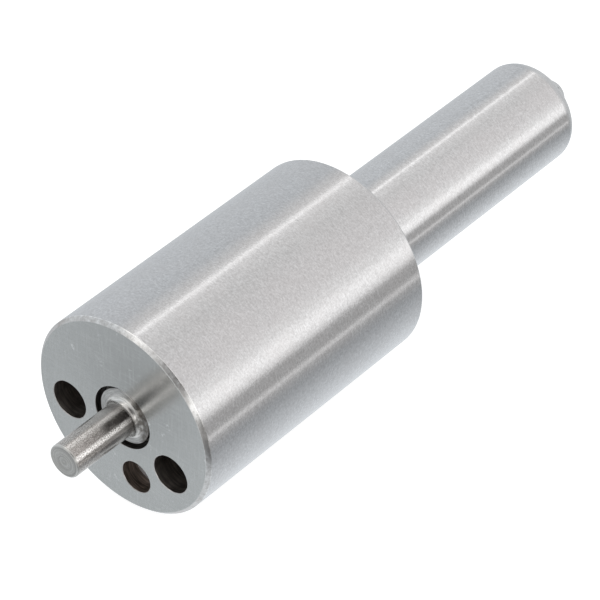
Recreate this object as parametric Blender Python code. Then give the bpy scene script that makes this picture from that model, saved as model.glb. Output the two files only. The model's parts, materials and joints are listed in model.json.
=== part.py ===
"""Long-shank fuel injector nozzle: a turned, drilled steel body with a lapped needle valve sliding in its bore.

The nozzle lies on its side, as it does on a bench. Its axis runs along X, with the sealing face and the
needle's stem towards -X and the spray tip towards +X. The origin is on the bench, under the middle of its length.
"""

import math

import bmesh
import bpy
from mathutils import Matrix, Vector

# Body, outside
BODY_DIAMETER = 0.0170
BODY_LENGTH = 0.0253
FACE_CHAMFER = 0.0003
SHOULDER_CHAMFER = 0.0002
SHANK_DIAMETER = 0.0090
SHANK_LENGTH = 0.0259
SHANK_ROOT_FILLET = 0.0003
TIP_CORNER_RADIUS = 0.0013
NIPPLE_DIAMETER = 0.0032
NIPPLE_HEIGHT = 0.0031

# Body, inside
GUIDE_DIAMETER = 0.0054
GUIDE_LENGTH = 0.0135
MOUTH_CHAMFER = 0.00005
CHAMBER_DIAMETER = 0.0080
CHAMBER_LENGTH = 0.0050
LOWER_BORE_DIAMETER = 0.0042
SEAT_ANGLE = math.radians(60)
SAC_DIAMETER = 0.0013
SAC_LENGTH = 0.0016
SAC_WALL = 0.00095

# Holes in the sealing face
DOWEL_CIRCLE_RADIUS = 0.0055
DOWEL_HOLE_DIAMETER = 0.00325
DOWEL_HOLE_DEPTH = 0.0060
DOWEL_ANGLES = (math.radians(77.5), math.radians(-57.5))
FEED_CIRCLE_RADIUS = 0.00535
FEED_HOLE_DIAMETER = 0.00275
FEED_HOLE_ANGLE = math.radians(-12.5)
FEED_HOLE_WALL = 0.0006
DRILL_POINT_ANGLE = math.radians(118)

# Spray holes
SPRAY_HOLE_COUNT = 5
SPRAY_HOLE_DIAMETER = 0.00032
SPRAY_CONE_ANGLE = math.radians(150)

# Needle valve
STEM_DIAMETER = 0.0028
STEM_PROTRUSION = 0.0063
STEM_CHAMFER = 0.0002
STEM_ROOT_FILLET = 0.0005
NEEDLE_LIFT = 0.00026
COLLAR_DIAMETER = 0.0048
COLLAR_LENGTH = 0.0008
COLLAR_CHAMFER = 0.00008
NEEDLE_OVERHANG = 0.0008
NEEDLE_END_DIAMETER = 0.0016
NEEDLE_END_ANGLE = math.radians(120)

# Clearances
GUIDE_CLEARANCE = 0.00003
SEAT_CLEARANCE = 0.00003
SHAFT_CLEARANCE = 0.0004
DRILL_OVERRUN = 0.0010
MERGE_DISTANCE = 1e-7

# Facets
ROUND_STEPS = 64
DRILL_STEPS = 32
SPRAY_STEPS = 12
ARC_STEPS = 6
SMOOTH_ANGLE = math.radians(30)

# Depths along the axis, counted from the sealing face towards the tip
TIP_FACE_DEPTH = BODY_LENGTH + SHANK_LENGTH
NIPPLE_END_DEPTH = TIP_FACE_DEPTH + NIPPLE_HEIGHT
CHAMBER_END_DEPTH = GUIDE_LENGTH + CHAMBER_LENGTH
SAC_BOTTOM_DEPTH = NIPPLE_END_DEPTH - SAC_WALL
SEAT_END_DEPTH = SAC_BOTTOM_DEPTH - SAC_LENGTH
SEAT_SLOPE = math.tan(SEAT_ANGLE / 2)
AXIS_HEIGHT = BODY_DIAMETER / 2
FACE_X = (STEM_PROTRUSION - NIPPLE_END_DEPTH) / 2


def seat_depth(radius):
    """Depth at which the body's seat cone has this radius."""
    return SEAT_END_DEPTH - (radius - SAC_DIAMETER / 2) / SEAT_SLOPE


def arc(centre_radius, centre_depth, radius, start, end, steps=ARC_STEPS):
    """Outline points on an arc. Angles are in degrees, from the outward radius (0) towards the tip (90)."""
    points = []
    for step in range(steps + 1):
        angle = math.radians(start + (end - start) * step / steps)
        points.append((centre_radius + radius * math.cos(angle), centre_depth + radius * math.sin(angle)))
    return points


def turned_mesh(name, outline, steps):
    """A closed solid turned about local Z from an outline of (radius, depth) points.

    The outline runs from one end on the axis to the other, and a facet is centred on local +X.
    """
    mesh = bpy.data.meshes.new(name)
    shape = bmesh.new()
    half_facet = Matrix.Rotation(-math.pi / steps, 3, "Z")
    points = [shape.verts.new(half_facet @ Vector((radius, 0, depth))) for radius, depth in outline]
    edges = [shape.edges.new(pair) for pair in zip(points, points[1:])]
    bmesh.ops.spin(
        shape,
        geom=points + edges,
        cent=(0, 0, 0),
        axis=(0, 0, 1),
        angle=math.tau,
        steps=steps,
        use_merge=True,
    )
    bmesh.ops.remove_doubles(shape, verts=shape.verts, dist=MERGE_DISTANCE)
    bmesh.ops.dissolve_degenerate(shape, edges=shape.edges, dist=MERGE_DISTANCE)
    bmesh.ops.recalc_face_normals(shape, faces=shape.faces)
    shape.to_mesh(mesh)
    shape.free()
    mesh.shade_smooth()
    mesh.set_sharp_from_angle(angle=SMOOTH_ANGLE)
    return mesh


def steel(name, colour, roughness):
    """A bare steel material."""
    material = bpy.data.materials.new(name)
    material.use_nodes = True
    shader = material.node_tree.nodes["Principled BSDF"]
    shader.inputs["Base Color"].default_value = (*colour, 1.0)
    shader.inputs["Roughness"].default_value = roughness
    shader.inputs["Metallic"].default_value = 1.0
    return material


def place(name, mesh, axis, material):
    """A piece of the nozzle, carried by its axis."""
    piece = bpy.data.objects.new(name, mesh)
    bpy.context.scene.collection.objects.link(piece)
    piece.parent = axis
    mesh.materials.append(material)
    return piece


def nozzle_axis():
    """The empty that lays the nozzle along X: its local Z runs from the sealing face to the tip."""
    axis = bpy.data.objects.new("nozzle_axis", None)
    bpy.context.scene.collection.objects.link(axis)
    axis.location = (FACE_X, 0, AXIS_HEIGHT)
    axis.rotation_euler = (0, math.pi / 2, 0)
    return axis


def body_outline():
    """The body's section: its outside from the nipple's end to the sealing face, then its bore down to the sac."""
    body_radius = BODY_DIAMETER / 2
    shank_radius = SHANK_DIAMETER / 2
    nipple_radius = NIPPLE_DIAMETER / 2
    sac_radius = SAC_DIAMETER / 2
    guide_radius = GUIDE_DIAMETER / 2
    chamber_radius = CHAMBER_DIAMETER / 2
    lower_radius = LOWER_BORE_DIAMETER / 2
    corner_radius = shank_radius - TIP_CORNER_RADIUS
    corner_depth = TIP_FACE_DEPTH - TIP_CORNER_RADIUS
    root_radius = shank_radius + SHANK_ROOT_FILLET
    root_depth = BODY_LENGTH + SHANK_ROOT_FILLET

    nipple = arc(0, NIPPLE_END_DEPTH - nipple_radius, nipple_radius, 90, 0)
    corner = arc(corner_radius, corner_depth, TIP_CORNER_RADIUS, 90, 0)
    root = arc(root_radius, root_depth, SHANK_ROOT_FILLET, 180, 270, ARC_STEPS // 2)
    barrel = [
        (body_radius - SHOULDER_CHAMFER, BODY_LENGTH),
        (body_radius, BODY_LENGTH - SHOULDER_CHAMFER),
        (body_radius, FACE_CHAMFER),
        (body_radius - FACE_CHAMFER, 0),
    ]
    bore = [
        (guide_radius + MOUTH_CHAMFER, 0),
        (guide_radius, MOUTH_CHAMFER),
        (guide_radius, GUIDE_LENGTH),
        (chamber_radius, GUIDE_LENGTH),
        (chamber_radius, CHAMBER_END_DEPTH - (chamber_radius - lower_radius)),
        (lower_radius, CHAMBER_END_DEPTH),
        (lower_radius, seat_depth(lower_radius)),
        (sac_radius, SEAT_END_DEPTH),
    ]
    sac = arc(0, SAC_BOTTOM_DEPTH - sac_radius, sac_radius, 0, 90)
    return nipple + [(nipple_radius, TIP_FACE_DEPTH)] + corner + root + barrel + bore + sac


def drill_outline(radius, depth):
    """A twist drill's outline: its shank end clear of the face, and its conical point past the full depth."""
    point = radius / math.tan(DRILL_POINT_ANGLE / 2)
    return [(0, -DRILL_OVERRUN), (radius, -DRILL_OVERRUN), (radius, depth), (0, depth + point)]


def drill_shape(name, outline, steps, axis, drills):
    """A hidden drill for the body's holes, added to the collection of drills."""
    drill = bpy.data.objects.new(name, turned_mesh(name, outline, steps))
    drills.objects.link(drill)
    drill.parent = axis
    drill.hide_render = True
    drill.display_type = "WIRE"
    return drill


def dowel_drills(axis, drills):
    """The two blind holes for the locating dowels."""
    for number, angle in enumerate(DOWEL_ANGLES, start=1):
        outline = drill_outline(DOWEL_HOLE_DIAMETER / 2, DOWEL_HOLE_DEPTH)
        drill = drill_shape(f"dowel_drill_{number}", outline, DRILL_STEPS, axis, drills)
        drill.location = (DOWEL_CIRCLE_RADIUS * math.cos(angle), DOWEL_CIRCLE_RADIUS * math.sin(angle), 0)


def feed_drill(axis, drills):
    """The slanting feed hole, from the sealing face into the side of the pressure chamber."""
    radius = FEED_HOLE_DIAMETER / 2
    inner_radius = GUIDE_DIAMETER / 2 + FEED_HOLE_WALL + radius
    lean = math.atan2(FEED_CIRCLE_RADIUS - inner_radius, GUIDE_LENGTH)
    depth = (GUIDE_LENGTH + CHAMBER_LENGTH / 2) / math.cos(lean) - radius
    drill = drill_shape("feed_drill", drill_outline(radius, depth), DRILL_STEPS, axis, drills)
    start = Vector((FEED_CIRCLE_RADIUS, 0, 0))
    turn = Matrix.Rotation(FEED_HOLE_ANGLE, 4, "Z")
    drill.matrix_local = turn @ Matrix.Translation(start) @ Matrix.Rotation(-lean, 4, "Y")


def spray_drills(axis, drills):
    """The ring of fine spray holes, each from inside the sac out through the nipple's wall."""
    radius = SPRAY_HOLE_DIAMETER / 2
    start = SAC_DIAMETER / 4
    reach = NIPPLE_DIAMETER / 2 + DRILL_OVERRUN
    outline = [(0, start), (radius, start), (radius, reach), (0, reach)]
    centre_depth = SAC_BOTTOM_DEPTH - SAC_DIAMETER / 2
    for number in range(SPRAY_HOLE_COUNT):
        drill = drill_shape(f"spray_drill_{number + 1}", outline, SPRAY_STEPS, axis, drills)
        turn = Matrix.Rotation(math.tau * number / SPRAY_HOLE_COUNT, 4, "Z")
        lift = Matrix.Translation((0, 0, centre_depth))
        drill.matrix_local = turn @ lift @ Matrix.Rotation(SPRAY_CONE_ANGLE / 2, 4, "Y")


def nozzle_body(axis):
    """The body: one turned steel piece, drilled for the dowels, the fuel feed and the spray."""
    material = steel("body_steel", (0.56, 0.56, 0.57), 0.32)
    body = place("nozzle_body", turned_mesh("nozzle_body", body_outline(), ROUND_STEPS), axis, material)
    drills = bpy.data.collections.new("drills")
    bpy.context.scene.collection.children.link(drills)
    dowel_drills(axis, drills)
    feed_drill(axis, drills)
    spray_drills(axis, drills)
    drilling = body.modifiers.new("drilling", "BOOLEAN")
    drilling.operation = "DIFFERENCE"
    drilling.solver = "EXACT"
    drilling.operand_type = "COLLECTION"
    drilling.collection = drills
    return body


def needle_outline():
    """The needle's section, from the stem's free end to the point in the seat."""
    stem_radius = STEM_DIAMETER / 2
    collar_radius = COLLAR_DIAMETER / 2
    guide_radius = GUIDE_DIAMETER / 2 - GUIDE_CLEARANCE
    shaft_radius = LOWER_BORE_DIAMETER / 2 - SHAFT_CLEARANCE
    end_radius = NEEDLE_END_DIAMETER / 2
    fillet_radius = stem_radius + STEM_ROOT_FILLET
    fillet_depth = NEEDLE_LIFT - STEM_ROOT_FILLET
    guide_start = NEEDLE_LIFT + COLLAR_LENGTH
    guide_end = GUIDE_LENGTH + NEEDLE_OVERHANG
    seat_gap = SEAT_CLEARANCE / math.cos(SEAT_ANGLE / 2)
    end_depth = seat_depth(end_radius + seat_gap)

    stem = [(0, -STEM_PROTRUSION), (stem_radius - STEM_CHAMFER, -STEM_PROTRUSION)]
    stem.append((stem_radius, STEM_CHAMFER - STEM_PROTRUSION))
    root = arc(fillet_radius, fillet_depth, STEM_ROOT_FILLET, 180, 90)
    collar = [
        (collar_radius - COLLAR_CHAMFER, NEEDLE_LIFT),
        (collar_radius, NEEDLE_LIFT + COLLAR_CHAMFER),
        (collar_radius, guide_start),
    ]
    guide = [(guide_radius, guide_start), (guide_radius, guide_end)]
    shaft = [
        (shaft_radius, guide_end + guide_radius - shaft_radius),
        (shaft_radius, seat_depth(shaft_radius + seat_gap)),
    ]
    point = [(end_radius, end_depth), (0, end_depth + end_radius / math.tan(NEEDLE_END_ANGLE / 2))]
    return stem + root + collar + guide + shaft + point


def needle_valve(axis):
    """The needle: stem, collar, lapped guide, pressure cone, slim shaft and seat cone, turned in one piece."""
    material = steel("needle_steel", (0.50, 0.49, 0.48), 0.28)
    return place("needle_valve", turned_mesh("needle_valve", needle_outline(), ROUND_STEPS), axis, material)


def main():
    for old in list(bpy.data.objects):
        bpy.data.objects.remove(old)
    axis = nozzle_axis()
    nozzle_body(axis)
    needle_valve(axis)


main()
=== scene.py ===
# %% [markdown]
# # A long-shank fuel injector nozzle
# The nozzle is a matched pair of steel pieces. The body is turned from one bar, drilled, hardened and
# ground, and the needle valve is lapped to slide in its bore. It lies on its side on a pale floor, its flat
# sealing face towards us. This lesson models both pieces as a turner would make them, gives each surface
# the finish of the tool that cut it, with some highlights and shade painted into the steel's colours, and
# lights the steel with a tent of soft white panels.

# %% Load the packed frame
import collections
import json
import math

import bmesh
import bpy
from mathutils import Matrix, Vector

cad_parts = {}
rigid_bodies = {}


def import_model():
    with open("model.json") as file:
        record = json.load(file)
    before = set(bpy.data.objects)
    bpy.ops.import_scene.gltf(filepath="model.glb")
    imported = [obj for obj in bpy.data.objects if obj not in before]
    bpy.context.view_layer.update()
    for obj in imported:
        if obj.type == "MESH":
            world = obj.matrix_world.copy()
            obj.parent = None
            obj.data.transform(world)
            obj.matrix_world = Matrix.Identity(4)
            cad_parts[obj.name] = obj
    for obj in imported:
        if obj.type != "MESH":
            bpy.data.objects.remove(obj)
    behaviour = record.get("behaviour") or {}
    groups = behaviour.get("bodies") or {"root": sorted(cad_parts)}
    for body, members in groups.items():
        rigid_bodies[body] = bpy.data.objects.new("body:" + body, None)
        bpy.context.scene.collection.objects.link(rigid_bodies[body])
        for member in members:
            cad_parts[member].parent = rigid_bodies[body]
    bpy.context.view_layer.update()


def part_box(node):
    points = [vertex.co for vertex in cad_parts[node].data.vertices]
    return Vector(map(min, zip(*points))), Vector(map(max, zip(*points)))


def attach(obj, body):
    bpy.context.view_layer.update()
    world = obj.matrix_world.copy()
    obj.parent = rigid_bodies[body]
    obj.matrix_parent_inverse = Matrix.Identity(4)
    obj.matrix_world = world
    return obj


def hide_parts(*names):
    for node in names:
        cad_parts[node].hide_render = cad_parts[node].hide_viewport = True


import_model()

# %% [markdown]
# ## The sizes
# All sizes are in metres, so a millimetre gets a short name. The outer sizes come from the boxes of the
# packed pieces, and the rest are the nozzle's own. Depths are counted from the sealing face towards the
# tip.

# %% Name the sizes
MM = 0.001
body_low, body_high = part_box("nozzle_body")
needle_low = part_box("needle_valve")[0]

FACE_X = body_low.x
AXIS_Z = (body_low.z + body_high.z) / 2
BODY_RADIUS = (body_high.y - body_low.y) / 2
NIPPLE_END = body_high.x - body_low.x
STEM_OUT = body_low.x - needle_low.x

BODY_LENGTH = 25.3 * MM
SHANK_RADIUS = 4.5 * MM
NIPPLE_LENGTH = 3.1 * MM
NIPPLE_RADIUS = 1.6 * MM
TIP_FACE = NIPPLE_END - NIPPLE_LENGTH
GUIDE_RADIUS = 2.7 * MM
GUIDE_LENGTH = 13.5 * MM
STEM_RADIUS = 1.4 * MM
print(f"The body is {2 * BODY_RADIUS / MM:.2f} mm across and {NIPPLE_END / MM:.1f} mm long")
print(f"The stem stands {STEM_OUT / MM:.1f} mm out of the face")

# %% [markdown]
# ## Drawing an outline and turning it
# A lathe makes round things from a flat outline, and Blender's Spin does the same. We start from one
# vertex, extrude it from corner to corner, bevel the corners that the real piece has rounded or chamfered,
# and then spin the chain round an axis. A cylinder primitive could be extruded and inset instead, but an
# outline shows every depth and radius in one place, and it gives clean rings for the light to run along.
# Narrow chamfers need care in the shading: a Weighted Normal modifier keeps each band flat. It ignores very
# small faces, so the piece is enlarged meanwhile.

# %% Draw an outline
Spindle = collections.namedtuple("Spindle", "origin along across")
ROUND = 0.5
EASE_SEGMENTS = 2


def spot(spindle, depth, radius):
    """The point at this depth along a spindle and this radius from it."""
    return spindle.origin + spindle.along * depth + spindle.across * radius


def draw_outline(name, spindle, corners):
    """A new object in edit mode: a chain of vertices through the (depth, radius) corners."""
    bpy.ops.object.select_all(action="DESELECT")
    bpy.ops.mesh.primitive_plane_add(size=MM)
    piece = bpy.context.active_object
    piece.name = name
    piece.data.name = name
    bpy.ops.object.mode_set(mode="EDIT")
    bpy.ops.mesh.select_all(action="SELECT")
    bpy.ops.mesh.merge(type="CENTER")
    points = [spot(spindle, *corner) for corner in corners]
    bpy.ops.transform.translate(value=points[0])
    for here, there in zip(points, points[1:]):
        bpy.ops.mesh.extrude_vertices_move(TRANSFORM_OT_translate={"value": there - here})
    return piece


def bevel_corner(piece, point, size, segments, ease=0.0):
    """Rounds the outline's corner at a point. One segment makes a chamfer, and ease rounds its two edges."""
    bpy.ops.mesh.select_all(action="DESELECT")
    mesh = bmesh.from_edit_mesh(piece.data)
    nearest = min(mesh.verts, key=lambda vertex: (vertex.co - point).length)
    nearest.select_set(True)
    bmesh.update_edit_mesh(piece.data)
    bpy.ops.mesh.bevel(affect="VERTICES", offset=size, segments=segments, profile=ROUND)
    if ease:
        bpy.ops.mesh.bevel(affect="VERTICES", offset=ease, segments=EASE_SEGMENTS, profile=ROUND)


nozzle = Spindle(Vector((FACE_X, 0, AXIS_Z)), Vector((1, 0, 0)), Vector((0, 0, 1)))
print("The nozzle turns about a line", round(AXIS_Z / MM, 2), "mm above the floor")

# %% Turn the outline and shade it
MERGE_DISTANCE = 0.0001 * MM
SMOOTH_ANGLE = math.radians(25)
ENLARGED = 1000.0
LARGE_FACES_ONLY = 100
SAME_AREA = 0.001


def turn_outline(spindle, steps):
    """Spins the outline into a closed solid and leaves edit mode."""
    bpy.ops.mesh.select_all(action="SELECT")
    centre, axis = spindle.origin, spindle.along
    bpy.ops.mesh.spin(steps=steps, angle=math.tau, center=centre, axis=axis, use_auto_merge=True)
    bpy.ops.mesh.select_all(action="SELECT")
    bpy.ops.mesh.remove_doubles(threshold=MERGE_DISTANCE)
    bpy.ops.mesh.normals_make_consistent(inside=False)
    bpy.ops.object.mode_set(mode="OBJECT")


def rescale(piece, factor):
    """Makes the active piece so many times larger about the world's origin."""
    piece.scale = (factor, factor, factor)
    bpy.ops.object.transform_apply(location=False, rotation=False, scale=True)


def shade_turned(piece):
    """Smooth shading that leaves the large faces flat: each corner's normal leans to its larger faces."""
    bpy.ops.object.shade_smooth_by_angle(angle=SMOOTH_ANGLE)
    rescale(piece, ENLARGED)
    leaning = piece.modifiers.new("leaning_normals", "WEIGHTED_NORMAL")
    leaning.keep_sharp = True
    leaning.weight = LARGE_FACES_ONLY
    leaning.thresh = SAME_AREA
    bpy.ops.object.modifier_apply(modifier=leaning.name)
    rescale(piece, 1 / ENLARGED)


def count_open_edges(piece):
    """How many edges of the piece don't join exactly two faces."""
    mesh = bmesh.new()
    mesh.from_mesh(piece.data)
    found = sum(not edge.is_manifold for edge in mesh.edges)
    mesh.free()
    return found


print("Edges sharper than", round(math.degrees(SMOOTH_ANGLE)), "degrees stay sharp in the shading")

# %% [markdown]
# ## Turning the body
# The outline starts at the spray tip, runs along the outside to the sealing face, and comes back through
# the bore to the small sac behind the tip. The tip's corner has a generous radius, the shoulder meets the
# shank in a small fillet, and the sealing face has a fine chamfer. Those edges catch the light, so none of
# them is left perfectly sharp. They are bevelled on the outline, before the spin, because a corner is a
# single vertex there and becomes a whole ring afterwards.

# %% Turn the body
TURN_STEPS = 192
CHAMBER_RADIUS = 4.0 * MM
CHAMBER_LENGTH = 5.0 * MM
CHAMBER_END = GUIDE_LENGTH + CHAMBER_LENGTH
LOWER_BORE_RADIUS = 2.1 * MM
SAC_RADIUS = 0.65 * MM
SAC_DEPTH = 1.6 * MM
DOME_WALL = 0.95 * MM
SAC_BOTTOM = NIPPLE_END - DOME_WALL
SEAT_END = SAC_BOTTOM - SAC_DEPTH
SEAT_ANGLE = math.radians(30)
DOME_SHARE = 0.97
NIPPLE_FILLET = 0.25 * MM
TIP_ROUNDING = 1.3 * MM
SHANK_FILLET = 0.3 * MM
SHOULDER_CHAMFER = 0.2 * MM
FACE_CHAMFER = 0.3 * MM
MOUTH_EDGE = 0.05 * MM
MICRO_EDGE = 0.04 * MM


def seat_depth(radius):
    """Depth at which the seat cone has this radius."""
    return SEAT_END - (radius - SAC_RADIUS) / math.tan(SEAT_ANGLE)


nipple_rim = (NIPPLE_END, NIPPLE_RADIUS)
nipple_root = (TIP_FACE, NIPPLE_RADIUS)
tip_rim = (TIP_FACE, SHANK_RADIUS)
shank_root = (BODY_LENGTH, SHANK_RADIUS)
shoulder_rim = (BODY_LENGTH, BODY_RADIUS)
face_rim = (0, BODY_RADIUS)
bore_mouth = (0, GUIDE_RADIUS)
sac_rim = (SAC_BOTTOM, SAC_RADIUS)
outside = [(NIPPLE_END, 0), nipple_rim, nipple_root, tip_rim, shank_root, shoulder_rim, face_rim]
inside = [
    bore_mouth,
    (GUIDE_LENGTH, GUIDE_RADIUS),
    (GUIDE_LENGTH, CHAMBER_RADIUS),
    (CHAMBER_END - CHAMBER_RADIUS + LOWER_BORE_RADIUS, CHAMBER_RADIUS),
    (CHAMBER_END, LOWER_BORE_RADIUS),
    (seat_depth(LOWER_BORE_RADIUS), LOWER_BORE_RADIUS),
    (SEAT_END, SAC_RADIUS),
    sac_rim,
    (SAC_BOTTOM, 0),
]
turned_body = draw_outline("turned_body", nozzle, outside + inside)
bevel_corner(turned_body, spot(nozzle, *nipple_rim), DOME_SHARE * NIPPLE_RADIUS, segments=16)
bevel_corner(turned_body, spot(nozzle, *nipple_root), NIPPLE_FILLET, segments=5)
bevel_corner(turned_body, spot(nozzle, *tip_rim), TIP_ROUNDING, segments=14)
bevel_corner(turned_body, spot(nozzle, *shank_root), SHANK_FILLET, segments=5)
bevel_corner(turned_body, spot(nozzle, *shoulder_rim), SHOULDER_CHAMFER, segments=1, ease=MICRO_EDGE)
bevel_corner(turned_body, spot(nozzle, *face_rim), FACE_CHAMFER, segments=1, ease=MICRO_EDGE)
bevel_corner(turned_body, spot(nozzle, *bore_mouth), MOUTH_EDGE, segments=3)
bevel_corner(turned_body, spot(nozzle, *sac_rim), DOME_SHARE * SAC_RADIUS, segments=10)
turn_outline(nozzle, TURN_STEPS)
print("Turned body:", len(turned_body.data.polygons), "faces,", count_open_edges(turned_body), "open edges")

# %% [markdown]
# ## Drilling the body
# The sealing face has three holes: two blind ones for the dowels that set the nozzle's turn in its holder,
# and one that feeds fuel to the chamber round the needle. The feed hole has a wide, straight mouth, whose
# flat bottom shows as a pale crescent, and goes on as a slimmer, slanted bore. Fine spray holes go through
# the wall of the domed tip. Each drill is turned like the body, about its own spindle. Those for the face
# flare where they meet it, so that one cut leaves the hole and its deburred edge. The drills lie in one
# collection and are taken away with a single Boolean, because one cut on a fresh mesh is cleaner than many
# cuts in a row.

# %% Drills for the dowel holes
DOWEL_CIRCLE = 5.5 * MM
DOWEL_RADIUS = 1.625 * MM
DOWEL_DEPTH = 6.0 * MM
DOWEL_TURNS = (math.radians(102.5), math.radians(237.5))
FLARE = 0.06 * MM
FLARE_CURVE = [(0.0, 1.0), (0.45, 0.22), (0.85, 0.0)]
OVERRUN = 0.4 * MM
DRILL_STEPS = 72
DRILL_POINT = math.tan(math.radians(59))


def outward(turn):
    """The unit vector away from the nozzle's axis, turned from straight up towards +Y."""
    return Vector((0, math.sin(turn), math.cos(turn)))


def face_drill(name, spindle, radius, depth, point):
    """A drill that flares for the edge of a hole in the face, with a conical point of this length."""
    corners = [(-OVERRUN, 0), (-OVERRUN, radius + FLARE + OVERRUN)]
    corners += [(down * FLARE, radius + out * FLARE) for down, out in FLARE_CURVE]
    corners += [(depth, radius), (depth + point, 0)]
    drill = draw_outline(name, spindle, corners)
    turn_outline(spindle, DRILL_STEPS)
    return drill


def dowel_drill(number, turn):
    """A drill for one dowel hole, square to the face."""
    away = outward(turn)
    spindle = Spindle(nozzle.origin + away * DOWEL_CIRCLE, nozzle.along, away)
    point = DOWEL_RADIUS / DRILL_POINT
    return face_drill(f"dowel_drill_{number}", spindle, DOWEL_RADIUS, DOWEL_DEPTH, point)


drills = [dowel_drill(number, turn) for number, turn in enumerate(DOWEL_TURNS, start=1)]
print("Turned", [drill.name for drill in drills])

# %% Drills for the feed hole
FEED_CIRCLE = 5.35 * MM
FEED_RADIUS = 1.375 * MM
FEED_MOUTH_DEPTH = 1.54 * MM
FEED_BORE_RADIUS = 0.9 * MM
FEED_WALL = 0.6 * MM
FEED_IN_CHAMBER = 2.5 * MM
FEED_TURN = math.radians(192.5)


def feed_spindle():
    """The slanted line of the feed hole, from the face past the guide's wall towards the chamber."""
    inner = GUIDE_RADIUS + FEED_WALL + FEED_RADIUS
    lean = math.atan2(FEED_CIRCLE - inner, GUIDE_LENGTH)
    away = outward(FEED_TURN)
    along = nozzle.along * math.cos(lean) - away * math.sin(lean)
    across = away * math.cos(lean) + nozzle.along * math.sin(lean)
    return Spindle(nozzle.origin + away * FEED_CIRCLE, along, across)


def feed_drill():
    """The drill for the slanted feed hole, which ends half way along the chamber."""
    spindle = feed_spindle()
    start = FEED_MOUTH_DEPTH - OVERRUN
    end = (GUIDE_LENGTH + FEED_IN_CHAMBER) / spindle.along.x
    corners = [(start, 0), (start, FEED_BORE_RADIUS), (end, FEED_BORE_RADIUS), (end, 0)]
    drill = draw_outline("feed_drill", spindle, corners)
    turn_outline(spindle, DRILL_STEPS)
    return drill


def feed_mouth_drill():
    """The drill for the feed hole's wide mouth, square to the face."""
    away = outward(FEED_TURN)
    spindle = Spindle(nozzle.origin + away * FEED_CIRCLE, nozzle.along, away)
    return face_drill("feed_mouth_drill", spindle, FEED_RADIUS, FEED_MOUTH_DEPTH, 0)


drills += [feed_mouth_drill(), feed_drill()]
print("Turned", [drill.name for drill in drills[-2:]])

# %% Drills for the spray holes
SPRAY_COUNT = 5
SPRAY_RADIUS = 0.16 * MM
SPRAY_LEAN = math.radians(75)
SPRAY_STEPS = 24


def spray_drill(number):
    """A fine drill from the sac out through the dome."""
    away = outward(math.pi - math.tau * number / SPRAY_COUNT)
    along = nozzle.along * math.cos(SPRAY_LEAN) + away * math.sin(SPRAY_LEAN)
    across = away * math.cos(SPRAY_LEAN) - nozzle.along * math.sin(SPRAY_LEAN)
    spindle = Spindle(spot(nozzle, SAC_BOTTOM - SAC_RADIUS, 0), along, across)
    start = SAC_RADIUS / 2
    end = NIPPLE_RADIUS + OVERRUN
    corners = [(start, 0), (start, SPRAY_RADIUS), (end, SPRAY_RADIUS), (end, 0)]
    drill = draw_outline(f"spray_drill_{number}", spindle, corners)
    turn_outline(spindle, SPRAY_STEPS)
    return drill


drills += [spray_drill(number) for number in range(SPRAY_COUNT)]
print("Turned", SPRAY_COUNT, "spray drills, so the rack has", len(drills), "drills")

# %% Drill the holes with one cut
drill_rack = bpy.data.collections.new("drill_rack")
for drill in drills:
    drill_rack.objects.link(drill)

bpy.ops.object.select_all(action="DESELECT")
turned_body.select_set(True)
bpy.context.view_layer.objects.active = turned_body
drilling = turned_body.modifiers.new("drilling", "BOOLEAN")
drilling.operation = "DIFFERENCE"
drilling.solver = "EXACT"
drilling.operand_type = "COLLECTION"
drilling.collection = drill_rack
bpy.ops.object.modifier_apply(modifier=drilling.name)
for drill in drills:
    bpy.data.objects.remove(drill)
bpy.data.collections.remove(drill_rack)
shade_turned(turned_body)
print("Drilled body:", len(turned_body.data.polygons), "faces,", count_open_edges(turned_body), "open edges")

# %% [markdown]
# ## Turning the needle
# Only the needle's stem shows at rest, in the middle of the sealing face, with the flat top of a collar
# round its root, a quarter of a millimetre below the face. The rest is made too, because the needle slides
# out: the collar with a dark gap round it, the lapped guide, a cone, the slim shaft and the seat cone. The
# stem's end keeps the small pip of its turning centre. All of it is one outline, so no gap can open between
# its steps.

# %% Turn the needle
NEEDLE_LIFT = 0.26 * MM
NEEDLE_GAP = 0.03 * MM
COLLAR_RADIUS = 2.4 * MM
COLLAR_HEIGHT = 0.8 * MM
GUIDE_START = NEEDLE_LIFT + COLLAR_HEIGHT
GUIDE_IN_CHAMBER = 0.8 * MM
GUIDE_END = GUIDE_LENGTH + GUIDE_IN_CHAMBER
NEEDLE_GUIDE_RADIUS = GUIDE_RADIUS - NEEDLE_GAP
SHAFT_GAP = 0.4 * MM
SHAFT_RADIUS = LOWER_BORE_RADIUS - SHAFT_GAP
SEAT_GAP = NEEDLE_GAP / math.cos(SEAT_ANGLE)
NEEDLE_END_RADIUS = 0.8 * MM
NEEDLE_END = seat_depth(NEEDLE_END_RADIUS + SEAT_GAP)
POINT_ANGLE = math.radians(60)
POINT_LENGTH = NEEDLE_END_RADIUS / math.tan(POINT_ANGLE)
STEM_ROUNDING = 0.16 * MM
ROOT_FILLET = 0.55 * MM
COLLAR_EDGE = 0.08 * MM
GUIDE_EDGE = 0.05 * MM
PIP_RADIUS = 0.13 * MM
PIP_DEPTH = 0.05 * MM

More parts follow.
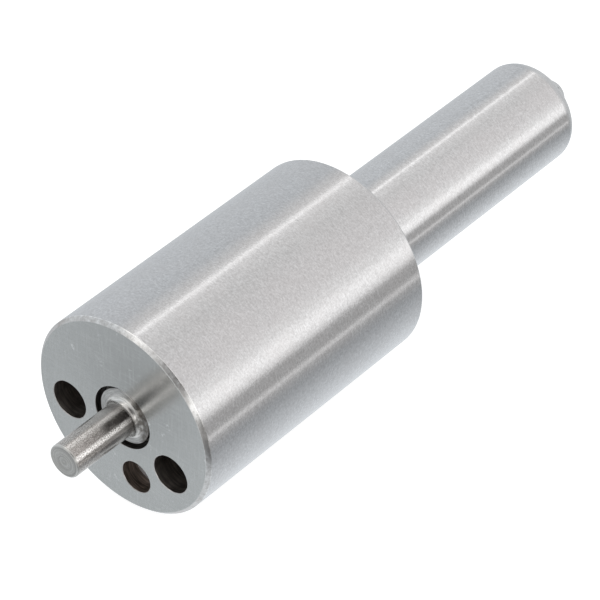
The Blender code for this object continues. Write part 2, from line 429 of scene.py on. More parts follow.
stem_rim = (-STEM_OUT, STEM_RADIUS)
stem_root = (NEEDLE_LIFT, STEM_RADIUS)
collar_rim = (NEEDLE_LIFT, COLLAR_RADIUS)
guide_rim = (GUIDE_START, NEEDLE_GUIDE_RADIUS)
needle_corners = [
    (PIP_DEPTH - STEM_OUT, 0),
    (-STEM_OUT, PIP_RADIUS),
    stem_rim,
    stem_root,
    collar_rim,
    (GUIDE_START, COLLAR_RADIUS),
    guide_rim,
    (GUIDE_END, NEEDLE_GUIDE_RADIUS),
    (GUIDE_END + NEEDLE_GUIDE_RADIUS - SHAFT_RADIUS, SHAFT_RADIUS),
    (seat_depth(SHAFT_RADIUS + SEAT_GAP), SHAFT_RADIUS),
    (NEEDLE_END, NEEDLE_END_RADIUS),
    (NEEDLE_END + POINT_LENGTH, 0),
]
lapped_needle = draw_outline("lapped_needle", nozzle, needle_corners)
bevel_corner(lapped_needle, spot(nozzle, *stem_rim), STEM_ROUNDING, segments=5)
bevel_corner(lapped_needle, spot(nozzle, *stem_root), ROOT_FILLET, segments=10)
bevel_corner(lapped_needle, spot(nozzle, *collar_rim), COLLAR_EDGE, segments=3)
bevel_corner(lapped_needle, spot(nozzle, *guide_rim), GUIDE_EDGE, segments=2)
turn_outline(nozzle, TURN_STEPS)
shade_turned(lapped_needle)
print("Needle:", len(lapped_needle.data.polygons), "faces,", count_open_edges(lapped_needle), "open edges")

# %% [markdown]
# ## Finishes from tool marks
# Bare steel looks the way its last tool left it. On everything that was turned or ground, the marks run
# round the axis, so one set of lathe coordinates serves them all: a number that grows along the piece and
# outwards, and the place across it. Noise that changes fast along the first and slowly across draws rings
# on a flat face, lines round a cylinder and both on a fillet. A pattern on unwrapped faces could do the
# same, but it would have seams, and this has none.

# %% Lathe coordinates
RING_SHARE = 1.7


def add_node(tree, kind, *sources, **settings):
    """A new node, its first inputs linked to the sources. Settings name its properties or other inputs."""
    made = tree.nodes.new(kind)
    for name, value in settings.items():
        if hasattr(made, name):
            setattr(made, name, value)
        else:
            made.inputs[name.replace("_", " ")].default_value = value
    for source, target in zip(sources, made.inputs):
        tree.links.new(source, target)
    return made


def lathe_coordinates():
    """A node group with the lathe coordinates: x grows along and outwards, y and z are the place across."""
    group = bpy.data.node_groups.new("lathe_coordinates", "ShaderNodeTree")
    group.interface.new_socket("Vector", in_out="OUTPUT", socket_type="NodeSocketVector")
    place = add_node(group, "ShaderNodeTexCoord").outputs["Object"]
    centred = add_node(group, "ShaderNodeVectorMath", place, operation="SUBTRACT")
    centred.inputs[1].default_value = nozzle.origin
    flat = add_node(group, "ShaderNodeVectorMath", centred.outputs["Vector"], operation="MULTIPLY")
    flat.inputs[1].default_value = (0, 1, 1)
    radius = add_node(group, "ShaderNodeVectorMath", flat.outputs["Vector"], operation="LENGTH")
    parts = add_node(group, "ShaderNodeSeparateXYZ", centred.outputs["Vector"]).outputs
    along = add_node(group, "ShaderNodeMath", radius.outputs["Value"], operation="MULTIPLY_ADD")
    along.inputs[1].default_value = RING_SHARE
    group.links.new(parts["X"], along.inputs[2])
    joined = add_node(group, "ShaderNodeCombineXYZ", along.outputs["Value"], parts["Y"], parts["Z"])
    add_node(group, "NodeGroupOutput", joined.outputs["Vector"])
    return group


lathe_group = lathe_coordinates()
print("Lathe coordinates:", [node.bl_idname for node in lathe_group.nodes])

# %% A finish under construction
ACROSS_THE_MARKS = 0.25


class Finish:
    """A steel material under construction: its tree, its shader and helpers that wire tool marks to it."""

    def __init__(self, name, roughness, anisotropy=0.0):
        self.material = bpy.data.materials.new(name)
        self.material.use_nodes = True
        self.tree = self.material.node_tree
        self.shader = self.tree.nodes["Principled BSDF"]
        self.shader.inputs["Metallic"].default_value = 1.0
        self.shader.inputs["Roughness"].default_value = roughness
        self.shader.inputs["Anisotropic"].default_value = anisotropy
        self.lathe = add_node(self.tree, "ShaderNodeGroup", node_tree=lathe_group)
        self.plain = add_node(self.tree, "ShaderNodeTexCoord")

    def link(self, source, target):
        """Joins an output to an input."""
        self.tree.links.new(source, target)

    def noise(self, scale, detail=3.0, on_lathe=True, roughness=0.6):
        """Noise of so many marks per metre in each lathe coordinate, or along the plain axes."""
        source = self.lathe.outputs["Vector"] if on_lathe else self.plain.outputs["Object"]
        scaled = add_node(self.tree, "ShaderNodeMapping", source, Scale=scale).outputs["Vector"]
        settings = {"Scale": 1.0, "Detail": detail, "Roughness": roughness}
        return add_node(self.tree, "ShaderNodeTexNoise", scaled, **settings).outputs["Fac"]

    def even_noise(self, marks, **settings):
        """Noise of so many marks per metre each way."""
        return self.noise((marks, marks, marks), on_lathe=False, **settings)

    def along(self, direction):
        """How far a point is from the middle of the sealing face in this direction."""
        place = self.plain.outputs["Object"]
        centred = add_node(self.tree, "ShaderNodeVectorMath", place, operation="SUBTRACT")
        centred.inputs[1].default_value = nozzle.origin
        away = centred.outputs["Vector"]
        reach = add_node(self.tree, "ShaderNodeVectorMath", away, operation="DOT_PRODUCT")
        reach.inputs[1].default_value = direction
        return reach.outputs["Value"]

    def away_from(self, point):
        """The distance from a point."""
        place = self.plain.outputs["Object"]
        apart = add_node(self.tree, "ShaderNodeVectorMath", place, operation="DISTANCE")
        apart.inputs[1].default_value = point
        return apart.outputs["Value"]

    def combine(self, operation, first, second):
        """Two values combined by an operation and held between 0 and 1."""
        made = add_node(self.tree, "ShaderNodeMath", first, second, operation=operation, use_clamp=True)
        return made.outputs["Value"]

    def spread(self, value, low, high, to_low=0.0, to_high=1.0):
        """Stretches the part of a value between low and high over another range, and clamps the rest."""
        ranges = {"From Min": low, "From Max": high, "To Min": to_low, "To Max": to_high}
        return add_node(self.tree, "ShaderNodeMapRange", value, **ranges).outputs["Result"]

    def mix(self, share, first, second):
        """Mixes two colours, each a tuple or an output, by a share from 0 to 1."""
        mixed = add_node(self.tree, "ShaderNodeMix", data_type="RGBA")
        sockets = [socket for socket in mixed.inputs if socket.type == "RGBA"]
        for socket, colour in zip(sockets, (first, second)):
            if isinstance(colour, tuple):
                socket.default_value = (*colour, 1.0)
            else:
                self.link(colour, socket)
        self.link(share, mixed.inputs["Factor"])
        return next(output for output in mixed.outputs if output.type == "RGBA")

    def colour(self, output):
        """Gives the shader its colour."""
        self.link(output, self.shader.inputs["Base Color"])

    def roughness(self, output):
        """Gives the shader its roughness."""
        self.link(output, self.shader.inputs["Roughness"])

    def bump(self, *heights):
        """Raises the surface by noise: pairs of a value and the height in metres of its full range."""
        below = None
        for value, height in heights:
            raised = add_node(self.tree, "ShaderNodeBump", Strength=1.0, Distance=height)
            self.link(value, raised.inputs["Height"])
            if below:
                self.link(below, raised.inputs["Normal"])
            below = raised.outputs["Normal"]
        self.link(below, self.shader.inputs["Normal"])

    def brush_round_axis(self):
        """Stretches the shine along the axis, across marks that run round it."""
        tangent = add_node(self.tree, "ShaderNodeTangent", direction_type="RADIAL", axis="X")
        self.link(tangent.outputs["Tangent"], self.shader.inputs["Tangent"])
        self.shader.inputs["Anisotropic Rotation"].default_value = ACROSS_THE_MARKS


print("A finish can take", [name for name in vars(Finish) if not name.startswith("_")])

# %% [markdown]
# ## Ground steel
# A grinding wheel leaves fine short lines round the body and the shank. They spread reflections along the
# axis but hardly round it, which is why the bright and dark bands run straight from end to end. The
# shader's anisotropy does the spreading, because most of the lines are too fine for a bump to show. Noise
# draws the coarser ones, a faint mottling and a few dark pin holes.

# %% Ground steel for the body and the shank
GROUND_TONES = {
    "dark": (0.53, 0.525, 0.525),
    "light": (0.68, 0.675, 0.675),
    "grain": (0.76, 0.755, 0.76),
    "speckle": (0.45, 0.44, 0.44),
    "mottle": (0.60, 0.575, 0.57),
}
PIN_HOLE = (0.16, 0.15, 0.14)
GLANCING_TINT = (0.88, 0.88, 0.88, 1.0)


def ground_steel(name, shine, grit):
    """Fine lines round the axis, mottled and pitted; shine scales the tones and grit the coarser bumps."""
    finish = Finish(name, roughness=0.14, anisotropy=0.9)
    finish.shader.inputs["Specular Tint"].default_value = GLANCING_TINT
    fine = finish.noise((13000, 3200, 3200))
    grain = finish.noise((7000, 2600, 2600))
    speckle = finish.even_noise(6200, detail=2.0)
    mottle = finish.even_noise(350)
    pits = finish.even_noise(1900, detail=1.0)
    steel = {kind: tuple(shine * part for part in tone) for kind, tone in GROUND_TONES.items()}
    tone = finish.mix(finish.spread(fine, 0.3, 0.7), steel["dark"], steel["light"])
    tone = finish.mix(finish.spread(grain, 0.35, 0.65, 0.0, 0.8), tone, steel["grain"])
    tone = finish.mix(finish.spread(speckle, 0.35, 0.7, 0.0, 0.6), tone, steel["speckle"])
    tone = finish.mix(finish.spread(mottle, 0.4, 0.7, 0.0, 0.25), tone, steel["mottle"])
    tone = finish.mix(finish.spread(pits, 0.82, 0.86, 0.0, 0.6), tone, PIN_HOLE)
    finish.colour(tone)
    finish.roughness(finish.spread(grain, 0.3, 0.7, 0.11, 0.17))
    finish.bump((fine, 0.0012 * MM), (grain, grit * 0.0024 * MM), (speckle, grit * 0.0024 * MM))
    finish.brush_round_axis()
    return finish.material


ground = ground_steel("ground_steel", shine=1.0, grit=1.0)
ground_shank = ground_steel("ground_shank_steel", shine=1.04, grit=0.5)
print("Made", ground.name, "and", ground_shank.name)

# %% [markdown]
# ## Lapped steel
# The sealing face is lapped flat on a plate with fine paste. It is a cool grey half mirror with a haze of
# fine crossed scratches and a few light scuffs, and a patch of painted shade makes it greyer above the stem.
# The scratches are too many to draw one by one, so two stretched noises, one upright and one level, stand
# for them.

# %% Lapped steel for the sealing face
# The first tone paints shade round a spot above the stem; the second is the face away from it.
LAPPED_TONES = {
    "worn": (0.475, 0.485, 0.475),
    "unshaded": (0.635, 0.65, 0.64),
    "cloud": (0.53, 0.54, 0.53),
    "grain": (0.43, 0.435, 0.43),
    "scratch": (0.72, 0.73, 0.72),
    "scuff": (0.86, 0.87, 0.86),
}
LAPPED_METALLIC = 0.85
# The centre and reach of the painted shade on the sealing face.
PAINTED_SHADE_CENTRE = Vector((0, -1.7, 4.7)) * MM
PAINTED_SHADE_REACH = (1.0 * MM, 8.5 * MM)


def lapped_steel():
    finish = Finish("lapped_steel", roughness=0.19)
    finish.shader.inputs["Metallic"].default_value = LAPPED_METALLIC
    grain = finish.even_noise(5000)
    cloud = finish.even_noise(260)
    scuff = finish.even_noise(1400, detail=4.0, roughness=0.7)
    upright = finish.noise((300, 7000, 500), detail=2.0, on_lathe=False)
    level = finish.noise((300, 500, 7000), detail=2.0, on_lathe=False)
    # Painted shade: the face is darker round a spot above the stem and lighter away from it.
    unshaded = finish.spread(finish.away_from(nozzle.origin + PAINTED_SHADE_CENTRE), *PAINTED_SHADE_REACH)
    tone = finish.mix(unshaded, LAPPED_TONES["worn"], LAPPED_TONES["unshaded"])
    tone = finish.mix(finish.spread(cloud, 0.35, 0.65, 0.0, 0.3), tone, LAPPED_TONES["cloud"])
    tone = finish.mix(finish.spread(grain, 0.3, 0.7, 0.0, 0.3), tone, LAPPED_TONES["grain"])
    for scratches in (upright, level):
        tone = finish.mix(finish.spread(scratches, 0.5, 0.75, 0.0, 0.3), tone, LAPPED_TONES["scratch"])
    tone = finish.mix(finish.spread(scuff, 0.64, 0.74, 0.0, 0.7), tone, LAPPED_TONES["scuff"])
    finish.colour(tone)
    finish.roughness(finish.spread(cloud, 0.3, 0.7, 0.17, 0.24))
    finish.bump((grain, 0.0008 * MM))
    return finish.material


lapped = lapped_steel()
print("Made", lapped.name)

# %% [markdown]
# ## Edge steel
# The face's chamfer is brighter and nicked from handling, with oily patches. Two painted highlights and a
# spot of painted shade lie on it, and painted shade darkens its low side. Its outer rim is the brightest,
# because it has a lighter copy of the finish as a painted highlight. A spot could be a face with a finish of
# its own, but its ends would be hard. Here it is given by a direction: only a short stretch of the ring
# reaches far enough that way, and it fades at both ends.

# %% Edge steel for the chamfers
# Tones for a painted highlight, a painted shade, the painted shade of the low side, and oily patches.
EDGE_PAINTED_HIGHLIGHT = (0.97, 0.96, 0.94)
EDGE_PAINTED_SHADE = (0.20, 0.19, 0.18)
LOW_SIDE_PAINTED_SHADE = (0.40, 0.38, 0.365)
OILY_EDGE = (0.36, 0.325, 0.30)
EDGE_PAINTED_LIGHT_AND_SHADE = [
    ((0, -0.122, 0.992), EDGE_PAINTED_HIGHLIGHT),
    ((0, -0.875, 0.485), EDGE_PAINTED_HIGHLIGHT),
    ((0, -0.966, 0.259), EDGE_PAINTED_SHADE),
]
PAINTED_MARK_REACH = (8.13 * MM, 8.33 * MM)
HIGH_SIDE = (0, -0.64, 0.77)
LOW_SIDE_SHADE_REACH = (5.0 * MM, -3.0 * MM)


def edge_steel(name, dark, light):
    """Nicked steel, with painted shade on the low side and the painted highlights and shade that the list
    gives, each in its direction.
    """
    finish = Finish(name, roughness=0.2, anisotropy=0.7)
    nicks = finish.even_noise(3200, detail=4.0, roughness=0.7)
    dark_patches = finish.even_noise(700)
    tone = finish.mix(finish.spread(nicks, 0.35, 0.65), dark, light)
    # Painted shade: the chamfer is darker on its low side.
    low_side = finish.spread(finish.along(HIGH_SIDE), *LOW_SIDE_SHADE_REACH, 0.0, 0.7)
    tone = finish.mix(low_side, tone, LOW_SIDE_PAINTED_SHADE)
    tone = finish.mix(finish.spread(dark_patches, 0.55, 0.72, 0.0, 0.5), tone, OILY_EDGE)
    # Painted highlights and painted shade, each on a short stretch of the chamfer in its direction.
    for direction, mark in EDGE_PAINTED_LIGHT_AND_SHADE:
        near = finish.spread(finish.along(direction), *PAINTED_MARK_REACH)
        broken = finish.combine("MULTIPLY", near, finish.spread(nicks, 0.35, 0.65, 0.25, 0.8))
        tone = finish.mix(broken, tone, mark)
    finish.colour(tone)
    finish.roughness(finish.spread(nicks, 0.3, 0.7, 0.15, 0.24))
    finish.bump((nicks, 0.002 * MM))
    finish.brush_round_axis()
    return finish.material


edged = edge_steel("edge_steel", dark=(0.53, 0.515, 0.50), light=(0.80, 0.79, 0.78))
# The rim gets a lighter copy of the edge finish: a painted highlight along the outer edge.
rim = edge_steel("rim_painted_highlight_steel", dark=(0.62, 0.61, 0.60), light=(0.96, 0.95, 0.94))
print("Made", edged.name, "and", rim.name)

# %% [markdown]
# ## Drilled steel
# The holes are darker than the outside, partly because the cut is rough and holds an oily film, and partly
# because their dark tones paint the shade inside them. The needle's bore is the darkest: its nearly black
# tone is painted shade of the narrow gap round the needle. Only the step in the feed hole is pale. One
# function makes them all, because the same kind of tool made them, and only the tones and the pitch of its
# marks differ.


# %% Drilled steel for the holes and the bore
def drilled_steel(name, dark, light, pitch=4600, metallic=1.0):
    """Rough steel with the drill's marks, so many to the metre, under an oily film, in tones that also paint
    the shade inside the holes.
    """
    finish = Finish(name, roughness=0.5)
    finish.shader.inputs["Metallic"].default_value = metallic
    spiral = finish.noise((pitch, 500, 500), on_lathe=False)
    oil = finish.even_noise(900)
    tone = finish.mix(finish.spread(spiral, 0.38, 0.62), dark, light)
    tone = finish.mix(finish.spread(oil, 0.5, 0.7, 0.0, 0.6), tone, dark)
    finish.colour(tone)
    finish.roughness(finish.spread(oil, 0.3, 0.7, 0.55, 0.35))
    finish.bump((spiral, 0.012 * MM))
    return finish.material


# These dark tones stand partly for an oily, rough cut and partly for painted shade inside the holes. The
# bore's nearly black tone is painted shade of the narrow gap round the needle.
drilled = drilled_steel("drilled_steel", dark=(0.25, 0.225, 0.21), light=(0.45, 0.41, 0.38))
bore = drilled_steel("bore_steel", dark=(0.06, 0.055, 0.05), light=(0.16, 0.145, 0.135))
feed_drilled = drilled_steel(
    "feed_drilled_steel", dark=(0.15, 0.12, 0.10), light=(0.50, 0.42, 0.365), pitch=8500
)
feed_step = drilled_steel(
    "feed_step_steel", dark=(0.46, 0.445, 0.45), light=(0.66, 0.64, 0.65), metallic=0.2
)
print("Made", drilled.name, bore.name, feed_drilled.name, "and", feed_step.name)

# %% [markdown]
# ## Turned steel
# The shoulder, the domed tip and the stem's end were turned and never ground, so their rings are coarser.
# Grooves could be modelled, but they are far finer than the mesh, so noise in the colour and the bump draws
# them.


# %% Turned steel for the shoulder, the tip and the stem's end
def turned_steel(name, dark, light, smooth, rough):
    finish = Finish(name, roughness=smooth, anisotropy=0.7)
    rings = finish.noise((3600, 220, 220), detail=4.0)
    grain = finish.even_noise(5000, detail=2.0)
    tone = finish.mix(finish.spread(rings, 0.35, 0.65), dark, light)
    tone = finish.mix(finish.spread(grain, 0.55, 0.75, 0.0, 0.5), tone, dark)
    finish.colour(tone)
    finish.roughness(finish.spread(grain, 0.3, 0.7, smooth, rough))
    finish.bump((rings, 0.003 * MM))
    finish.brush_round_axis()
    return finish.material


turned = turned_steel(
    "turned_steel", dark=(0.54, 0.54, 0.545), light=(0.63, 0.63, 0.635), smooth=0.24, rough=0.36
)
stem_end = turned_steel(
    "stem_end_steel", dark=(0.44, 0.43, 0.41), light=(0.70, 0.69, 0.66), smooth=0.26, rough=0.38
)
print("Made", turned.name, "and", stem_end.name)

# %% [markdown]
# ## Collar steel
# The flat collar round the stem and the fillet at the stem's root have rings too, but broken ones, and they
# are darker towards the front. That darker part is given by a direction again, and a blotchy noise breaks
# its edge. The fillet has a lighter copy of the finish, which paints a highlight on it.

# %% Collar steel for the collar round the stem and the fillet between them
# A darker tone towards the front of the collar and the fillet, near the stem.
COLLAR_DARKER_FRONT = (0.18, 0.165, 0.15)
DARKER_FRONT_SIDE = (0, -0.98, 0.17)
DARKER_FRONT_REACH = (1.0 * MM, 1.6 * MM)


def collar_steel(name, dark, light, smooth, rough):
    finish = Finish(name, roughness=smooth, anisotropy=0.7)
    rings = finish.noise((5200, 1100, 1100), detail=4.0)
    blotch = finish.even_noise(2600)
    tone = finish.mix(finish.spread(rings, 0.35, 0.65), dark, light)
    # Darker towards the front, with a blotchy edge.
    near = finish.spread(finish.along(DARKER_FRONT_SIDE), *DARKER_FRONT_REACH)
    dark_patches = finish.combine("MULTIPLY", near, finish.spread(blotch, 0.35, 0.6, 0.45, 1.0))
    finish.colour(finish.mix(dark_patches, tone, COLLAR_DARKER_FRONT))
    finish.roughness(finish.spread(blotch, 0.3, 0.7, smooth, rough))
    finish.bump((rings, 0.003 * MM), (blotch, 0.004 * MM))
    finish.brush_round_axis()
    return finish.material


collar = collar_steel(
    "collar_steel", dark=(0.37, 0.365, 0.355), light=(0.70, 0.69, 0.67), smooth=0.28, rough=0.42
)
# The fillet's finish is smoother and lighter: the smoothness is real, the lighter colour a painted
# highlight.
stem_fillet = collar_steel(
    "stem_fillet_painted_highlight_steel", dark=(0.52, 0.505, 0.485), light=(0.86, 0.84, 0.81), smooth=0.20, rough=0.28
)
print("Made", collar.name, "and", stem_fillet.name)

# %% [markdown]
# ## Stem steel
# The stem is a little warmer and darker than the body, and speckled towards its end. Near its root, on the
# upper front side, a patch of painted shade stands for a dark reflection, and two painted highlights run
# along it. Each of these is a share that fades along the stem or round it, so one finish holds them all and
# no seam shows between them.

# %% Stem steel
# The darkest tone paints shade near the root, and the brightest paints two highlights along the stem.
STEM_TONES = {
    "speck_dark": (0.33, 0.305, 0.285),
    "speck_light": (0.71, 0.675, 0.645),
    "line_dark": (0.47, 0.445, 0.425),
    "line_light": (0.60, 0.57, 0.55),
    "oil": (0.11, 0.10, 0.093),
    "rubbed": (0.98, 0.95, 0.93),
}
OUT_OF_THE_FACE = (-1, 0, 0)
SPECKLED_FROM = (2.5 * MM, 3.2 * MM)
# Where the painted shade lies: a dark reflection near the stem's root, on its upper front side.
PAINTED_SHADE_UP_TO = (2.2 * MM, 3.5 * MM)
PAINTED_SHADE_SIDE = (0, -0.60, 0.80)
PAINTED_SHADE_SIDE_REACH = (1.28 * MM, 1.36 * MM)
# Two painted highlights along the stem.
PAINTED_HIGHLIGHT_LINES = [((0, -0.84, 0.545), 1.0), ((0, -0.21, 0.978), 0.5)]
PAINTED_HIGHLIGHT_REACH = (1.378 * MM, 1.398 * MM)


def stem_steel():
    finish = Finish("stem_steel", roughness=0.23, anisotropy=1.0)
    speckle = finish.even_noise(10500)
    lines = finish.noise((6500, 900, 900))
    patchy = finish.even_noise(1100)
    out = finish.along(OUT_OF_THE_FACE)
    near_end = finish.spread(out, *SPECKLED_FROM, 0.25, 1.25)
    handled = finish.combine("SUBTRACT", near_end, finish.spread(patchy, 0.3, 0.7, -0.25, 0.75))
    specks = finish.spread(speckle, 0.38, 0.62)
    dull = finish.mix(specks, STEM_TONES["speck_dark"], STEM_TONES["speck_light"])
    bright = finish.mix(finish.spread(lines, 0.3, 0.7), STEM_TONES["line_dark"], STEM_TONES["line_light"])
    bright = finish.mix(finish.spread(speckle, 0.42, 0.62, 0.0, 0.4), bright, STEM_TONES["speck_light"])
    # Painted shade: a dark reflection near the root, on the upper front side.
    near_root = finish.spread(out, *PAINTED_SHADE_UP_TO, 1.0, 0.0)
    blurred = finish.combine("MULTIPLY", near_root, finish.spread(speckle, 0.45, 0.65, 1.0, 0.7))
    on_top = finish.spread(finish.along(PAINTED_SHADE_SIDE), *PAINTED_SHADE_SIDE_REACH)
    bright = finish.mix(finish.combine("MULTIPLY", on_top, blurred), bright, STEM_TONES["oil"])
    tone = finish.mix(handled, bright, dull)
    # Painted highlights: two bright lines along the stem.
    for direction, share in PAINTED_HIGHLIGHT_LINES:
        streak = finish.spread(finish.along(direction), *PAINTED_HIGHLIGHT_REACH, 0.0, share)
        rubbed = finish.combine("MULTIPLY", streak, finish.spread(speckle, 0.38, 0.56, 0.1, 1.0))
        tone = finish.mix(rubbed, tone, STEM_TONES["rubbed"])
    finish.colour(tone)
    finish.roughness(finish.spread(handled, 0.0, 1.0, 0.22, 0.24))
    raised = finish.combine("MULTIPLY", speckle, handled)
    finish.bump((lines, 0.0006 * MM), (raised, 0.004 * MM), (speckle, 0.001 * MM))
    finish.brush_round_axis()
    return finish.material


stem = stem_steel()
print("Made", stem.name)

# %% [markdown]
# ## Guide steel
# The rest of the needle shows only when it is drawn out. It is lapped almost to a mirror, so this finish is
# the smoothest, with faint lines and a thin cloud of oil.

# %% Guide steel for the rest of the needle
GUIDE_DARK = (0.57, 0.56, 0.55)
GUIDE_LIGHT = (0.64, 0.63, 0.62)
GUIDE_CLOUD = (0.52, 0.50, 0.48)


def guide_steel():
    finish = Finish("guide_steel", roughness=0.12, anisotropy=0.5)
    lines = finish.noise((12000, 700, 700))
    cloud = finish.even_noise(500)
    tone = finish.mix(finish.spread(lines, 0.3, 0.7), GUIDE_DARK, GUIDE_LIGHT)
    tone = finish.mix(finish.spread(cloud, 0.45, 0.75, 0.0, 0.4), tone, GUIDE_CLOUD)
    finish.colour(tone)
    finish.roughness(finish.spread(lines, 0.3, 0.7, 0.09, 0.16))
    finish.bump((lines, 0.0008 * MM))
    finish.brush_round_axis()
    return finish.material


guide = guide_steel()
print("Made", guide.name)

# %% [markdown]
# ## Giving each face its finish
# A face's depth, its distance from the axis and the way it points say which tool cut it, and only the
# slanted feed hole needs the whole place of the face's centre. So each finish is given by a test on those,
# starting with the finish that covers most of the piece. Faces could also be picked one by one, but a test
# still holds when a size or a number of steps changes.

# %% A face's place, and the finish it gets
HAIR = 0.01 * MM
FaceSpot = collections.namedtuple("FaceSpot", "depth radius normal centre")


def cover(piece, material, test=None):
    """Gives the material to the faces that pass the test on their place, or to all of them."""
    piece.data.materials.append(material)
    slot = len(piece.data.materials) - 1
    count = 0
    for face in piece.data.polygons:
        place = face.center - nozzle.origin
        spot_here = FaceSpot(place.x, math.hypot(place.y, place.z), face.normal, face.center)
        if test is None or test(spot_here):
            face.material_index = slot
            count += 1
    print(f"{material.name} covers {count} faces of {piece.name}")


print("A face is judged by its", FaceSpot._fields)

# %% Finishes for the body's outside
SHOULDER_REACH = 0.35 * MM
FACING = 0.9
SLANTED = 0.1
TIP_SLANT = 0.05


def on_shoulder(face):
    return abs(face.depth - BODY_LENGTH) < SHOULDER_REACH and face.normal.x > SLANTED


def on_tip(face):
    return face.depth > TIP_FACE - TIP_ROUNDING and face.normal.x > TIP_SLANT


def on_sealing_face(face):
    return abs(face.depth) < HAIR and face.normal.x < -FACING


cover(turned_body, ground)
cover(turned_body, ground_shank, lambda face: face.depth > BODY_LENGTH)
cover(turned_body, turned, lambda face: on_shoulder(face) or on_tip(face))
cover(turned_body, lapped, on_sealing_face)

# %% Finishes for the body's holes and edges
CLEAR = 1.0 * MM
EDGE_REACH = 0.4 * MM
ALMOST_SQUARE = 0.97
FLARE_REACH = 0.8 * FLARE
FLARE_SLANT = 0.25
DOME_SKIN = 0.2 * MM
DOME_SLANT = 0.4


def inside_body(face):
    in_thick = HAIR < face.depth < BODY_LENGTH - CLEAR and face.radius < BODY_RADIUS - CLEAR
    in_slim = BODY_LENGTH - 2 * CLEAR < face.depth < TIP_FACE and face.radius < LOWER_BORE_RADIUS + HAIR
    in_tip = face.depth > TIP_FACE and face.radius < NIPPLE_RADIUS - DOME_SKIN
    return in_thick or in_slim or (in_tip and face.normal.x < DOME_SLANT)


def inside_feed_hole(face):
    line = feed_spindle()
    reach = face.centre - line.origin
    aside = reach - line.along * reach.dot(line.along)
    return HAIR < face.depth < GUIDE_LENGTH and aside.length < FEED_RADIUS + FLARE


def on_hole_edge(face):
    at_mouth = HAIR < face.depth < FLARE_REACH and face.radius < BODY_RADIUS - CLEAR
    return at_mouth and face.normal.x < -FLARE_SLANT


def on_feed_step(face):
    return inside_feed_hole(face) and face.normal.x < -FACING


def in_bore(face):
    return HAIR < face.depth < GUIDE_LENGTH + CLEAR and face.radius < GUIDE_RADIUS + HAIR


def on_face_edge(face):
    at_corner = face.depth < EDGE_REACH and face.radius > BODY_RADIUS - EDGE_REACH
    return at_corner and SLANTED < abs(face.normal.x) < ALMOST_SQUARE


def on_face_rim(face):
    return on_face_edge(face) and face.radius > BODY_RADIUS - MICRO_EDGE


cover(turned_body, drilled, inside_body)
cover(turned_body, feed_drilled, inside_feed_hole)
cover(turned_body, feed_step, on_feed_step)
cover(turned_body, bore, in_bore)
cover(turned_body, edged, lambda face: on_face_edge(face) or on_hole_edge(face))
cover(turned_body, rim, on_face_rim)

# %% Finishes for the needle
STEM_END_REACH = 0.21 * MM
STEM_END_SLANT = 0.15
COLLAR_SLANT = 0.05
ROOT_SLANT = 0.02


def on_stem_end(face):
    return face.depth < STEM_END_REACH - STEM_OUT and face.normal.x < -STEM_END_SLANT


def on_collar(face):
    within = NEEDLE_LIFT - HAIR < face.depth < GUIDE_START
    return within and face.radius > STEM_RADIUS and face.normal.x < -COLLAR_SLANT


def on_stem_root(face):
    within = NEEDLE_LIFT - ROOT_FILLET < face.depth < NEEDLE_LIFT - HAIR
    return within and face.radius < STEM_RADIUS + ROOT_FILLET and face.normal.x < -ROOT_SLANT


def on_needle_guide(face):
    return face.depth > GUIDE_START - HAIR


cover(lapped_needle, stem)
cover(lapped_needle, stem_end, on_stem_end)
cover(lapped_needle, collar, on_collar)
cover(lapped_needle, stem_fillet, on_stem_root)
cover(lapped_needle, guide, on_needle_guide)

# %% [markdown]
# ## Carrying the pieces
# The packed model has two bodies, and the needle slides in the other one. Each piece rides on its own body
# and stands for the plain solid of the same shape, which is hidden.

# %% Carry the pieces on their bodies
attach(turned_body, "body")
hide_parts("nozzle_body")
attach(lapped_needle, "needle")
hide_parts("needle_valve")

# %% [markdown]
# ## The camera
# The camera looks down on the sealing face from the left with a long lens, so that parallel edges stay
# almost parallel. It comes before the light, because the opening for the lens is part of the light tent.

# %% Place the camera
VIEW_AZIMUTH = math.radians(-50.3)
VIEW_ELEVATION = math.radians(39.1)
CAMERA_PLACE = Vector((-150.87, -122.39, 162.58)) * MM
LENS = 189.9
SENSOR = 36.0
NEAREST = 0.01


def place_camera():
    """The camera, made the scene's own."""
    data = bpy.data.cameras.new("camera")
    data.lens = LENS
    data.sensor_width = SENSOR
    data.clip_start = NEAREST
    camera = bpy.data.objects.new("camera", data)
    bpy.context.scene.collection.objects.link(camera)
    camera.location = CAMERA_PLACE
    camera.rotation_euler = (math.pi / 2 - VIEW_ELEVATION, 0, VIEW_AZIMUTH)
    bpy.context.scene.camera = camera
    return camera


bpy.context.scene.view_settings.view_transform = "Standard"
print("Placed", place_camera().name)

# %% [markdown]
# ## A light tent
# Polished steel shows its surroundings more than itself, so the light is most of the picture. Small metal
# parts are photographed in a tent of white panels. Lamps could stand for the panels, but here the world
# itself is the tent, wrapped round the nozzle's axis: its brightness depends on the angle round that axis,
# from straight up towards the front, so each band on the steel is a line in a list. A bright panel stands
# at the front, with a dark gap below it and a thin light line in the gap. Another thin line runs high at
# the back, and the rest is a soft white, a little cool at the back and below. At the tent's two ends the
# panels fade into one plain white, because they would all meet in a point there. Three round patches break
# the white: the dark opening for the lens, which shows twice reflected at the root of the stem, a shaded
# patch low on the left, which gives the flat faces their grey, and a fainter one in front of it.

